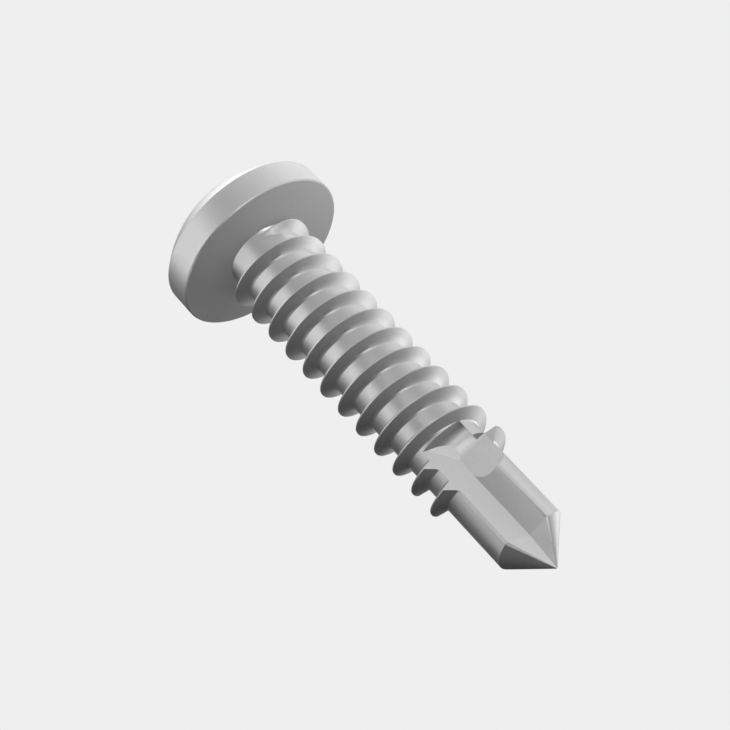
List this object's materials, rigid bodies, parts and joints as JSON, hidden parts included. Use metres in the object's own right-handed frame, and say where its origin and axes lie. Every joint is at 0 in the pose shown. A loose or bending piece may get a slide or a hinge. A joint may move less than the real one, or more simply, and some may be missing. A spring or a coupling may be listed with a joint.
{
  "type": "self drilling screw",
  "caption": "Steel self drilling screw with a pan head, a coarse thread up to the head and a fluted drill point.",
  "frame": {"origin": "centre of the flat on top of the pan head, on which the screw stands", "axes": "+Z along the screw from the head to the drill point, +X out of the mouth of the first flute"},
  "size_m": [0.0116, 0.0116, 0.0314],
  "materials": {
    "zinc_plated_steel": "smooth grey zinc plated steel, softly glossy"
  },
  "bodies": {
    "root": {"screw": "zinc_plated_steel"}
  },
  "joints": []
}
